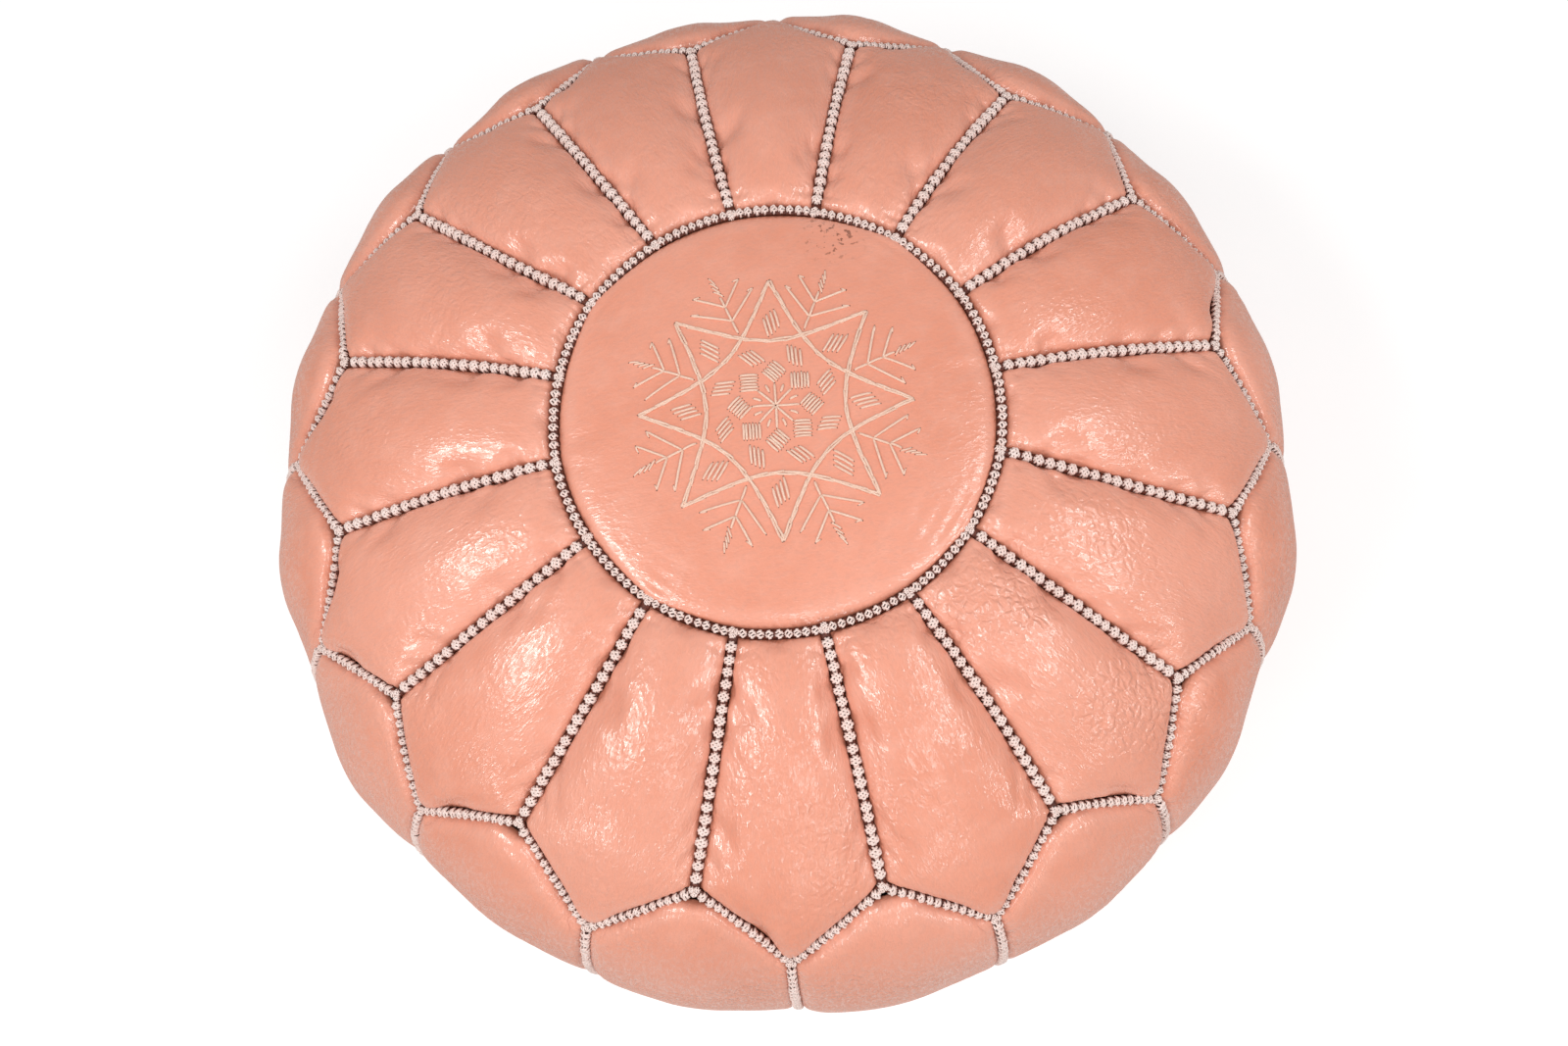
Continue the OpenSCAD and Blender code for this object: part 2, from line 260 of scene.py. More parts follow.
def eased(count):
    """Steps from 0 to 1 that are finer near both ends."""
    s = np.linspace(0, 1, count)
    return s - 0.55 * np.sin(2 * math.pi * s) / (2 * math.pi)


def grid_normals(grid):
    along = np.gradient(grid, axis=0)
    across = np.gradient(grid, axis=1)
    return unit(np.cross(along, across))


def inset_grid(surface, rows, cols):
    """Points of surface(u, v) that stay EDGE_GAP clear of its four edges."""
    v, u = np.meshgrid(eased(rows), eased(cols), indexing="ij")
    s = np.linspace(0, 1, 9)
    ends = surface(s[None, :], s[:, None])
    width = np.linalg.norm(np.diff(ends, axis=1), axis=2).sum(axis=1)
    length = np.linalg.norm(np.diff(ends, axis=0), axis=2).sum(axis=0)
    gap_u = np.interp(v, s, EDGE_GAP / width)
    gap_v = np.interp(u, s, EDGE_GAP / length)
    u = gap_u + u * (1 - 2 * gap_u)
    v = gap_v + v * (1 - 2.4 * gap_v)
    return surface(u, v)


CROWN_POWER = math.log((RIM_Z - TIP_Z) / (RIM_Z - SHOULDER_Z)) / math.log(
    (TIP_R - RIM_R) / (SHOULDER_R - RIM_R)
)


def crown_height(points):
    """How high a smooth dome through the rim, the shoulders and the tips is above each point."""
    r = np.hypot(points[..., 0], points[..., 1])
    share = np.clip((r - RIM_R) / (SHOULDER_R - RIM_R), 0, None)
    return RIM_Z - (RIM_Z - SHOULDER_Z) * share**CROWN_POWER


def above_crown(points):
    return points - UP * crown_height(points)[..., None]


def petal_surface(k):
    """The patch between two radial seams, the rim and the zigzag seam."""
    nxt = (k + 1) % PANELS
    inner, left, right = rim_seams[k], radial_seams[k], radial_seams[nxt]
    outer = join_routes(zigzag_out[k], zigzag_in[k])

    ends = [
        above_crown(p)
        for p in (rim_points[k], rim_points[nxt], shoulder_points[k], shoulder_points[nxt])
    ]

    def surface(u, v):
        u, v = np.broadcast_arrays(u, v)
        a, b = u[..., None], v[..., None]
        edges = (inner.at(u), outer.at(u), left.at(v), right.at(v))
        low, high, first, last = (above_crown(p) for p in edges)
        corner = mix(mix(ends[0], ends[1], a), mix(ends[2], ends[3], a), b)
        patch = mix(low, high, b) + mix(first, last, a) - corner
        return patch + UP * crown_height(patch)[..., None]

    return surface


def side_surface(k):
    """The patch below the zigzag seam between two side seams, centred on a shoulder."""
    before = (k - 1) % PANELS
    top = join_routes(zigzag_in[before], zigzag_out[k])
    left, right = side_seams[before], side_seams[k]
    turns = [np.unwrap(np.arctan2(s.points[:, 1], s.points[:, 0])) for s in (left, right)]
    turns = [a + math.tau * round((k * PITCH - a[0]) / math.tau) for a in turns]

    def surface(u, v):
        u, v = np.broadcast_arrays(u, v)
        start = top.at(u)
        profile = down_side(start, v)
        top_angle = np.arctan2(start[..., 1], start[..., 0])
        top_angle += math.tau * np.round((k * PITCH - top_angle) / math.tau)
        steps = np.linspace(0, 1, len(turns[0]))
        first, last = (np.interp(v, steps, a) for a in turns)
        across = (top_angle - turns[0][0]) / (turns[1][0] - turns[0][0])
        angle = mix(first, last, mix(across, u, v))
        r = profile[..., 0]
        return np.stack([r * np.cos(angle), r * np.sin(angle), profile[..., 1]], -1)

    return surface


MEDALLION_RISE = 7 * MM


def medallion_grid(count):
    """A square grid pressed into the round of the medallion's seam."""
    s = np.linspace(-1, 1, count)
    x, y = np.meshgrid(s, s, indexing="ij")
    px, py = x * np.sqrt(1 - y * y / 2), y * np.sqrt(1 - x * x / 2)
    angle = np.arctan2(py, px) % math.tau
    ring = np.concatenate([route.points[:-1] for route in rim_seams])
    ring_angle = np.arctan2(ring[:, 1], ring[:, 0]) % math.tau
    order = np.argsort(ring_angle)
    ring_r = np.hypot(ring[order, 0], ring[order, 1])
    rim = np.interp(angle, ring_angle[order], ring_r, period=math.tau) - EDGE_GAP
    r = np.hypot(px, py)
    z = RIM_Z + MEDALLION_RISE * (1 - r**2) ** 0.8 * 0.6
    return np.stack([rim * px, rim * py, z], -1)


# ---- Cloth: the panels swell from their pinned seams ----

PRESSURE = 35.0
SPARE_LEATHER = 0.02
SIM_FRAMES = 16
START_PUFF = 5.5 * MM
CLOTH = {
    "quality": 5, "mass": 0.1, "air_damping": 2, "vertex_group_mass": "pinned",
    "tension_stiffness": 12, "compression_stiffness": 12, "shear_stiffness": 12,
    "bending_stiffness": 6, "shrink_min": -SPARE_LEATHER,
    "use_pressure": True, "uniform_pressure_force": PRESSURE,
}

# How much of the swelling each kind of panel keeps
PETAL_SHARE = 1.0
SIDE_SHARE = 0.5
MEDALLION_SHARE = 0.3


def puffed(grid, amount):
    rows, cols = grid.shape[:2]
    v = np.sin(math.pi * np.linspace(0, 1, rows))[:, None]
    u = np.sin(math.pi * np.linspace(0, 1, cols))[None, :]
    lift = amount * np.clip(u * v, 0, 1) ** 0.6
    return grid + grid_normals(grid) * lift[..., None]


def sink_edges(grid):
    normals = grid_normals(grid)
    edge = np.ones(grid.shape[:2], bool)
    edge[1:-1, 1:-1] = False
    grid = grid.copy()
    grid[edge] -= normals[edge] * EDGE_SINK
    return grid, edge


def quads(rows, cols, start=0):
    i, j = np.meshgrid(np.arange(rows - 1), np.arange(cols - 1), indexing="ij")
    a = start + i * cols + j
    return np.stack([a, a + cols, a + cols + 1, a + 1], -1).reshape(-1, 4)


def inflate(grids):
    """The grids as one cloth, pinned at their edges, swollen by pressure.

    Each grid comes with the share of the swelling that it keeps.
    """
    ready = [sink_edges(puffed(g, START_PUFF * share)) for g, share in grids]
    verts = np.concatenate([g.reshape(-1, 3) for g, _ in ready])
    pinned = np.concatenate([edge.ravel() for _, edge in ready])
    faces, start = [], 0
    for g, _ in ready:
        faces.append(quads(*g.shape[:2], start))
        start += g.shape[0] * g.shape[1]
    cloth = new_mesh("cloth", verts, np.concatenate(faces), None)
    group = cloth.vertex_groups.new(name="pinned")
    group.add([int(i) for i in np.nonzero(pinned)[0]], 1.0, "REPLACE")
    modifier = cloth.modifiers.new("cloth", "CLOTH")
    for key, value in CLOTH.items():
        setattr(modifier.settings, key, value)
    modifier.settings.effector_weights.gravity = 0
    modifier.point_cache.frame_end = SIM_FRAMES
    scene = bpy.context.scene
    for number in range(1, SIM_FRAMES + 1):
        scene.frame_set(number)
    seen = cloth.evaluated_get(bpy.context.evaluated_depsgraph_get())
    flat = np.empty(len(verts) * 3, np.float32)
    seen.data.vertices.foreach_get("co", flat)
    verts = flat.reshape(-1, 3).astype(float)
    scene.frame_set(1)
    bpy.data.objects.remove(cloth)
    made, start = [], 0
    for (_, share), (g, _) in zip(grids, ready):
        count = g.shape[0] * g.shape[1]
        made.append(mix(g, verts[start : start + count].reshape(g.shape), share))
        start += count
    return made


# ---- Finer grids, and the shapes too small for the cloth ----

REFINE = 5


def finer(grid, factor, axis):
    """The grid with factor steps for each one along axis, on a smooth cubic curve."""
    g = np.moveaxis(grid, axis, 0)
    padded = np.concatenate([[2 * g[0] - g[1]], g, [2 * g[-1] - g[-2]]])
    t = (np.arange(factor) / factor).reshape(1, factor, *([1] * (g.ndim - 1)))
    p0, p1, p2, p3 = (padded[k : len(padded) - 3 + k][:, None] for k in range(4))
    fine = 0.5 * (
        2 * p1 + (p2 - p0) * t + (2 * p0 - 5 * p1 + 4 * p2 - p3) * t**2
        + (3 * p1 - p0 - 3 * p2 + p3) * t**3
    )
    fine = fine.reshape(-1, *g.shape[1:])
    return np.moveaxis(np.concatenate([fine, g[-1:]]), 0, axis)


def arc_lengths(grid, axis):
    steps = np.linalg.norm(np.diff(grid, axis=axis), axis=2)
    pad = [(0, 0), (0, 0)]
    pad[axis] = (1, 0)
    return np.cumsum(np.pad(steps, pad), axis=axis)


def edge_distances(grid):
    """How far each point is from the side and end edges, and along both ways."""
    across, along = arc_lengths(grid, 1), arc_lengths(grid, 0)
    side = np.minimum(across, across[:, -1:] - across)
    end = np.minimum(along, along[-1:] - along)
    return side, end, across, along


HASHES = (73856093, 19349663, 83492791)
TABLE_SIZE = 8192


def noise_field(grid, size, seed):
    """Smooth noise from -1 to 1 at each point, with lumps of about this size."""
    table = np.random.default_rng(seed).uniform(-1, 1, TABLE_SIZE)
    place = grid.reshape(-1, 3) / size + seed * 0.37
    cell = np.floor(place).astype(np.int64)
    part = place - cell
    part = part * part * part * (part * (part * 6 - 15) + 10)
    total = np.zeros(len(place))
    for corner in np.ndindex(2, 2, 2):
        key = np.zeros(len(place), np.int64)
        weight = np.ones(len(place))
        for axis, step in enumerate(corner):
            key ^= (cell[:, axis] + step) * HASHES[axis]
            weight *= part[:, axis] if step else 1 - part[:, axis]
        total += table[(key ^ (key >> 13)) & (TABLE_SIZE - 1)] * weight
    return total.reshape(grid.shape[:2])


# The edges roll down to the seams, and the side panels roll more at the top
ROLL_LIFT = 1.7 * MM
ROLL_REACH = 2.6 * MM
TOP_ROLL = 2.2 * MM
TOP_ROLL_START = 4 * MM
TOP_ROLL_END = 40 * MM
TOP_ROLL_SIDE = 7 * MM
# Gathers run out from the seams. They start, peak and fade at these distances
GATHER_DEEP = 0.22 * MM
GATHER_GAIN = 1.4
GATHER_START = 1.2 * MM
GATHER_PEAK = 1.5 * MM
GATHER_FADE = 6 * MM
# Sizes and heights of the lumps, and sizes and depths of the creases
LUMPS = ((70 * MM, 1.3 * MM), (28 * MM, 0.16 * MM), (11 * MM, 0.03 * MM))
CREASES = ((16 * MM, 0.5 * MM), (8 * MM, 0.3 * MM))
CREASE_WIDE = 0.07
EDGE_FADE = 9 * MM


def finish_surface(grid, seed, gather_pitch=(5.0 * MM, 3.8 * MM), crumple=0.5, lumps=1.0,
                   lowest=None, top_roll=0.0):
    """A grid from the cloth, refined, with rolled edges, gathers, lumps and creases."""
    fine = finer(finer(grid, REFINE, 0), REFINE, 1)
    normals = grid_normals(fine)
    side, end, across, along = edge_distances(fine)
    near = np.minimum(side, end)
    fade = 1 - np.exp(-((near / EDGE_FADE) ** 2))
    lift = ROLL_LIFT * (1 - np.exp(-((near / ROLL_REACH) ** 1.5)))
    lift += top_roll * (1 - np.exp(-((along / TOP_ROLL_START) ** 1.5))) * np.exp(
        -((along / TOP_ROLL_END) ** 2)
    ) * (1 - np.exp(-((side / TOP_ROLL_SIDE) ** 2)))
    jog = 2.5 * noise_field(fine, 45 * MM, seed + 3)
    pull = 0.5 + 0.5 * noise_field(fine, 24 * MM, seed + 5)
    for distance, run, pitch in ((side, along, gather_pitch[0]), (end, across, gather_pitch[1])):
        edge_only = np.exp(-(((distance - GATHER_PEAK) / GATHER_FADE) ** 2)) * (distance > 0)
        grow = 1 - np.exp(-((distance / GATHER_START) ** 2))
        wave = np.cos(math.tau * run / pitch + jog)
        lift += GATHER_DEEP * wave * edge_only * grow * pull * GATHER_GAIN
    for k, (size, height) in enumerate(LUMPS):
        lift += lumps * height * noise_field(fine, size, seed + 11 * k) * fade
    patches = np.clip(0.5 + 1.6 * noise_field(fine, 60 * MM, seed + 71), 0, 1) * crumple
    for k, (size, depth) in enumerate(CREASES):
        ridge = np.abs(noise_field(fine, size, seed + 31 + 7 * k))
        lift -= depth * np.exp(-((ridge / CREASE_WIDE) ** 2)) * patches * fade
    fine = fine + normals * lift[..., None]
    if lowest is not None:
        fine[..., 2] = np.maximum(fine[..., 2], lowest)
    middle = across[:, -1:] / 2
    return fine, near, np.stack([across - middle, along], -1)


def panel(name, grid, material, seed, node, slot_name="cover_leather", fill=0.9, **how):
    """A leather panel over its CAD node, from its inflated grid."""
    fine, near, flat = finish_surface(grid, seed, **how)
    rows, cols = near.shape
    faces = quads(rows, cols)
    obj = new_mesh(name, fine.reshape(-1, 3), faces, material)
    layer = obj.data.uv_layers.new(name="hide")
    layer.data.foreach_set("uv", flat.reshape(-1, 2)[faces.ravel()].astype(np.float32).ravel())
    set_attribute(obj, "seam", near)
    set_attribute(obj, "tone", np.full(near.size, HAND.random()))
    set_attribute(obj, "crumple", np.full(near.size, how.get("crumple", 0.5)))
    solid = obj.modifiers.new("thickness", "SOLIDIFY")
    solid.thickness = LEATHER_T
    solid.offset = -1
    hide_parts(node)
    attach(obj, "cover")
    return obj


# ---- Materials ----


def srgb(red, green, blue):
    """A colour of a screen, from 0 to 255, as the linear colour that nodes take."""

    def line(c):
        c /= 255
        return c / 12.92 if c <= 0.04045 else ((c + 0.055) / 1.055) ** 2.4

    return (line(red), line(green), line(blue), 1.0)


class Nodes:
    """A small way to write node trees: each call makes one node and returns its output."""

    def __init__(self, name):
        self.material = bpy.data.materials.new(name)
        self.material.use_nodes = True
        self.tree = self.material.node_tree
        self.shader = self.tree.nodes["Principled BSDF"]
        self.point = self.make("ShaderNodeTexCoord").outputs["Object"]

    def make(self, kind, inputs=(), **settings):
        node = self.tree.nodes.new(kind)
        for key, value in settings.items():
            setattr(node, key, value)
        for key, value in dict(inputs).items():
            self.put(node.inputs[key], value)
        return node

    def put(self, socket, value):
        if isinstance(value, bpy.types.NodeSocket):
            self.tree.links.new(value, socket)
        else:
            socket.default_value = value

    def noise(self, scale, detail=2, rough=0.5, warp=0.0, at=None):
        inputs = {"Scale": scale, "Detail": detail, "Roughness": rough, "Distortion": warp}
        inputs["Vector"] = at or self.point
        return self.make("ShaderNodeTexNoise", inputs).outputs["Fac"]

    def cells(self, scale, feature="F1", at=None):
        inputs = {"Scale": scale, "Vector": at or self.point}
        node = self.make("ShaderNodeTexVoronoi", inputs, feature=feature)
        return node.outputs["Distance"]

    def attribute(self, name):
        return self.make("ShaderNodeAttribute", attribute_name=name).outputs["Fac"]

    def on_hide(self, scale):
        """Coordinates along a panel's own hide, in metres times scale."""
        uv = self.make("ShaderNodeUVMap", uv_map="hide").outputs[0]
        return self.make("ShaderNodeMapping", {"Vector": uv, "Scale": scale}).outputs["Vector"]

    def warped(self, scale, amount):
        """The object's coordinates, pushed about by noise."""
        inputs = {"Scale": scale, "Detail": 2.0, "Vector": self.point}
        push = self.make("ShaderNodeTexNoise", inputs).outputs["Color"]
        for operation, by in (("SUBTRACT", 0.5), ("MULTIPLY", amount)):
            node = self.make("ShaderNodeVectorMath", {0: push, 1: (by,) * 3}, operation=operation)
            push = node.outputs[0]
        return self.make("ShaderNodeVectorMath", {0: self.point, 1: push}).outputs[0]

    def math(self, operation, a, b):
        return self.make("ShaderNodeMath", {0: a, 1: b}, operation=operation).outputs[0]

    def times(self, a, b):
        return self.math("MULTIPLY", a, b)

    def span(self, value, low, high, to_low=0.0, to_high=1.0, smooth=True):
        kind = "SMOOTHSTEP" if smooth else "LINEAR"
        inputs = {"Value": value, "From Min": low, "From Max": high}
        inputs.update({"To Min": to_low, "To Max": to_high})
        return self.make("ShaderNodeMapRange", inputs, interpolation_type=kind).outputs[0]

    def blend(self, factor, a, b, kind="MIX"):
        node = self.make("ShaderNodeMix", data_type="RGBA", blend_type=kind)
        self.put(node.inputs[0], factor)
        self.put(node.inputs[6], a)
        self.put(node.inputs[7], b)
        return node.outputs[2]

    def bump(self, height, distance, strength=1.0, below=None):
        inputs = {"Height": height, "Distance": distance, "Strength": strength}
        if below:
            inputs["Normal"] = below
        return self.make("ShaderNodeBump", inputs).outputs["Normal"]

    def finish(self, **sockets):
        for key, value in sockets.items():
            self.put(self.shader.inputs[key.replace("_", " ")], value)
        return self.material


SALMON = srgb(236, 158, 132)
SALMON_PALE = srgb(243, 176, 154)
SALMON_DEEP = srgb(229, 147, 119)
# A stain brown: painted shade in the seam valleys, and the colour of the real brown specks
STAIN_AND_SHADE = srgb(150, 80, 58)
SPOT = srgb(110, 62, 40)
COAT_ROUGHNESS = 0.15
COAT_IOR = 1.8
# The brown marks near the medallion's back edge
MARKS_AT = polar(0.88 * RIM_R, math.radians(61), RIM_Z + 2 * MM)


def leather_material(name, marks=False, plain=1.0):
    """Dyed hide. Its bumps are as deep as plain says, and marks adds the brown patch."""
    n = Nodes(name)
    seam, tone, crumple = (n.attribute(k) for k in ("seam", "tone", "crumple"))
    cloud = n.noise(11, 3, 0.55)
    mottle = n.noise(75, 4, 0.6)
    colour = n.blend(n.span(cloud, 0.3, 0.7), SALMON_DEEP, SALMON)
    colour = n.blend(n.span(mottle, 0.42, 0.75, 0, 0.3), colour, SALMON_PALE)
    colour = n.blend(n.span(tone, 0, 1, 0, 0.25, smooth=False), colour, SALMON_PALE)
    # Grain: small pebbles, fine pores, streaks along the hide, and wrinkles that run in patches
    dull = n.noise(260, 2, 0.5)
    pebbles = n.cells(760, at=n.on_hide((1.0, 0.6, 1.0)))
    pores = n.noise(2200, 2, 0.6)
    crinkle = n.cells(190, "DISTANCE_TO_EDGE", at=n.warped(150, 0.006))
    streak = n.noise(500, 2, 0.6, 0.3, at=n.on_hide((1.0, 0.4, 1.0)))
    wrinkle = n.noise(150, 2, 0.5, 1.2)
    patch = n.times(n.span(n.noise(16, 2, 0.5), 0.38, 0.7), crumple)
    crinkled = n.times(n.span(crinkle, 0.0, 0.3, -1, 0), patch)
    streaked = n.times(streak, n.span(n.noise(20, 2, 0.5), 0.35, 0.6, 0.45, 1))
    # Painted shade, partly stain: the colour darkens towards the seams, in the valleys where shade
    # falls
    uneven = n.math("ADD", seam, n.span(mottle, 0.3, 0.7, -0.0012, 0.0012))
    near = n.span(uneven, 0.0002, 0.0042, 1, 0)
    colour = n.blend(n.times(near, 0.62), colour, STAIN_AND_SHADE)
    # Painted highlight: the colour is lighter a few millimetres from each seam, along the rolled
    # edges
    edge_highlight = n.times(n.span(seam, 0.002, 0.006), n.span(seam, 0.006, 0.013, 1, 0))
    colour = n.blend(n.times(edge_highlight, 0.28), colour, SALMON_PALE)
    # Painted shade: the colour darkens along the crinkle lines, in the creases
    crease_shade = n.times(n.span(crinkle, 0.0, 0.1, 1, 0), patch)
    colour = n.blend(n.times(crease_shade, 0.3), colour, SALMON_DEEP)
    if marks:
        away = n.make("ShaderNodeVectorMath", {0: n.point, 1: MARKS_AT}, operation="DISTANCE")
        inside = n.span(away.outputs["Value"], 0.006, 0.019, 1, 0)
        spots = n.span(n.noise(330, 3, 0.6), 0.57, 0.63)
        marked = n.times(inside, spots)
        colour = n.blend(n.times(marked, 0.75), colour, SPOT)
    specks = n.span(n.noise(95, 5, 0.7), 0.78, 0.82)
    colour = n.blend(n.times(specks, 0.45), colour, STAIN_AND_SHADE)
    rough = n.span(n.noise(38, 4, 0.6), 0.3, 0.7, 0.3, 0.46)
    rough = n.math("ADD", rough, n.span(dull, 0.3, 0.7, -0.04, 0.05))
    folds = n.bump(wrinkle, 0.0003 * plain, 0.3)
    folds = n.bump(crinkled, 0.0006 * plain, 0.7, folds)
    folds = n.bump(streaked, 0.0006 * plain, 0.7, folds)
    shine = n.bump(n.math("SUBTRACT", 1.0, pebbles), 0.00014 * plain, 0.6, folds)
    normal = n.bump(pores, 0.0001 * plain, 0.5, shine)
    polish = n.times(n.span(streak, 0.45, 0.57, 0.2, 1), n.span(pebbles, 0.3, 0.7, 1, 0.5))
    return n.finish(
        Base_Color=colour, Roughness=rough, Normal=normal, Specular_IOR_Level=0.4,
        Coat_Weight=polish, Coat_Roughness=COAT_ROUGHNESS, Coat_IOR=COAT_IOR, Coat_Normal=shine,
    )


IVORY = srgb(255, 246, 241)
IVORY_DARK = srgb(240, 212, 202)
CORE_BROWN = srgb(128, 64, 46)


def thread_material(name, light, dark, fibres=2600):
    n = Nodes(name)
    tone = n.attribute("tone")
    fibre = n.noise(fibres, 3, 0.6)
    colour = n.blend(n.span(fibre, 0.3, 0.75), dark, light)
    colour = n.blend(n.times(tone, 0.35), colour, dark)
    soil = n.span(n.noise(60, 3, 0.6), 0.5, 0.75, 0, 0.25)
    colour = n.blend(soil, colour, dark)
    normal = n.bump(fibre, 0.00025, 0.8)
    rough = n.span(fibre, 0.2, 0.8, 0.36, 0.6)
    return n.finish(Base_Color=colour, Roughness=rough, Normal=normal, Specular_IOR_Level=0.35)


def woven_material(name, light, dark):
    n = Nodes(name)
    wave = {"Scale": 300.0, "Distortion": 0.4, "Detail": 1.0, "Vector": n.point}
    along = n.make("ShaderNodeTexWave", wave, bands_direction="X").outputs["Fac"]
    across = n.make("ShaderNodeTexWave", wave, bands_direction="Y").outputs["Fac"]
    weave = n.math("MAXIMUM", along, across)
    colour = n.blend(n.span(weave, 0.2, 1), dark, light)
    normal = n.bump(weave, 0.0003, 0.8)
    return n.finish(Base_Color=colour, Roughness=0.85, Normal=normal)


def metal_material(name, light, dark):
    n = Nodes(name)
    worn = n.noise(420, 4, 0.6)
    colour = n.blend(n.span(worn, 0.35, 0.7), dark, light)
    rough = n.span(n.noise(900, 3, 0.6), 0.3, 0.7, 0.24, 0.42)
    normal = n.bump(worn, 0.0001, 0.5)
    return n.finish(Base_Color=colour, Roughness=rough, Normal=normal, Metallic=1.0)


LEATHER = leather_material("leather")
MEDALLION_LEATHER = leather_material("medallion_leather", marks=True, plain=0.55)
SEAM_THREAD = thread_material("seam_thread", IVORY, IVORY_DARK)
SEAM_CORE = thread_material("seam_core", CORE_BROWN, srgb(52, 22, 14), 1500)
EMBROIDERY = thread_material("embroidery_thread", srgb(255, 232, 214), srgb(232, 186, 162))
# Painted shade: the dark colour of the plugs at the stitches' ends
NEEDLE_HOLE_SHADE = thread_material("needle_hole_shade", srgb(92, 52, 38), srgb(60, 34, 26))
ZIP_TAPE = woven_material("zip_tape", srgb(206, 142, 112), srgb(150, 92, 68))
ZIP_METAL = metal_material("zip_metal", srgb(206, 172, 108), srgb(140, 106, 58))


def wadding_material():
    n = Nodes("wadding")
    tufts = n.noise(140, 5, 0.7, 0.8)
    colour = n.blend(tufts, srgb(205, 196, 180), srgb(244, 240, 230))
    return n.finish(Base_Color=colour, Roughness=0.95, Normal=n.bump(tufts, 0.004, 0.7))


WADDING = wadding_material()

# ---- The leather panels ----

PETAL_GRID = (18, 11)
SIDE_GRID = (31, 12)
MEDALLION_GRID = 25

grids = [(inset_grid(petal_surface(k), *PETAL_GRID), PETAL_SHARE) for k in range(PANELS)]
grids += [(inset_grid(side_surface(k), *SIDE_GRID), SIDE_SHARE) for k in range(PANELS)]
grids += [(medallion_grid(MEDALLION_GRID), MEDALLION_SHARE)]
swollen = inflate(grids)

# The petals at the front right are the most crumpled, in degrees round the pouf
MOST_CRUMPLED = 300
CRUMPLED_REACH = 45
for k in range(PANELS):
    away = math.degrees((k + 0.5) * PITCH) - MOST_CRUMPLED
    crumple = 0.35 + 0.65 * math.exp(-((away / CRUMPLED_REACH) ** 2)) + wobble(0.1)
    panel(f"petal_{k + 1:02d}_leather", swollen[k], LEATHER, 100 + k, f"petal_{k + 1:02d}",
          crumple=crumple)
for k in range(PANELS):
    panel(f"side_panel_{k + 1:02d}_leather", swollen[PANELS + k], LEATHER, 200 + k,
          f"side_panel_{k + 1:02d}", gather_pitch=(3.4 * MM, 4.4 * MM),
          crumple=0.55 + wobble(0.15), lumps=1.5, top_roll=TOP_ROLL)
top = panel("medallion_leather", swollen[-1], MEDALLION_LEATHER, 300, "medallion",
            gather_pitch=(3.8 * MM, 3.8 * MM), crumple=0.15, lumps=0.35)

# ---- Thread: tubes, beads and the dark cords that they are sewn over ----

TUBE_SIDES = 6


class Heap:
    """Many small closed shapes gathered into one mesh."""

    def __init__(self):
        self.verts, self.faces, self.tones, self.slots, self.count = [], [], [], [], 0

    def add(self, verts, faces, tone=0.5, slot_index=0):
        self.verts.append(verts)
        self.faces += [[i + self.count for i in face] for face in faces]
        self.tones.append(np.full(len(verts), tone))
        self.slots += [slot_index] * len(faces)
        self.count += len(verts)

    def make(self, name, materials, node, slot_name="seam_thread"):
        obj = new_mesh(name, np.concatenate(self.verts), self.faces, materials[0])
        for material in materials[1:]:
            obj.data.materials.append(material)
        obj.data.polygons.foreach_set("material_index", self.slots)
        set_attribute(obj, "tone", np.concatenate(self.tones))
        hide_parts(node)
        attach(obj, "cover")
        return obj


def ring_faces(count, sides):
    """The quads between count rings of points."""
    return [
        [i * sides + j, i * sides + k, (i + 1) * sides + k, (i + 1) * sides + j]
        for i in range(count - 1)
        for j, k in zip(range(sides), [*range(1, sides), 0])
    ]


def tube(path, radius, sides=TUBE_SIDES, wide=1.0, side_way=None):
    """A closed tube along a path. It may be wider along side_way than it is high."""
    path = np.asarray(path, float)
    count = len(path)
    radius = np.broadcast_to(radius, count)
    tangent = unit(np.gradient(path, axis=0))
    side_way = np.broadcast_to(UP if side_way is None else side_way, path.shape)
    across = unit(side_way - (side_way * tangent).sum(1, keepdims=True) * tangent)
    over = np.cross(tangent, across)
    a = np.arange(sides) * math.tau / sides
    ring = (
        np.cos(a)[None, :, None] * across[:, None] * wide
        + np.sin(a)[None, :, None] * over[:, None]
    )
    verts = (path[:, None] + ring * radius[:, None, None]).reshape(-1, 3)
    faces = ring_faces(count, sides)
    faces.append(list(range(sides))[::-1])
    faces.append([(count - 1) * sides + j for j in range(sides)])
    return verts, faces


def strand_bead(strands, half_long, half_wide, height, thread, rng):
    """A bead of strands laid over a dome. Each strand is (angle, offset, weave)."""
    bead = Heap()
    for angle, offset, weave in strands:
        a = angle + rng.uniform(-0.09, 0.09)
        way = np.array([math.cos(a), math.sin(a)])
        beside = np.array([-way[1], way[0]])
        middle = beside * (offset + rng.uniform(-0.07, 0.07) * MM)
        reach = 1 / math.sqrt((way[0] / half_long) ** 2 + (way[1] / half_wide) ** 2)
        gone = (middle[0] / half_long) ** 2 + (middle[1] / half_wide) ** 2
        reach *= math.sqrt(max(1 - gone, 0.12))
        s = np.array([-1.0, -0.86, -0.5, 0, 0.5, 0.86, 1.0])
        flat = middle + s[:, None] * reach * way
        dome = 1 - (flat[:, 0] / half_long / 1.12) ** 2 - (flat[:, 1] / half_wide / 1.12) ** 2
        z = height * np.sqrt(np.clip(dome, 0, 1)) + weave * np.cos(s * 4.2) * thread * 0.55
        z[0] = z[-1] = -0.1 * height
        bead.add(*tube(np.column_stack([flat, z]), thread))
    return np.concatenate(bead.verts), bead.faces


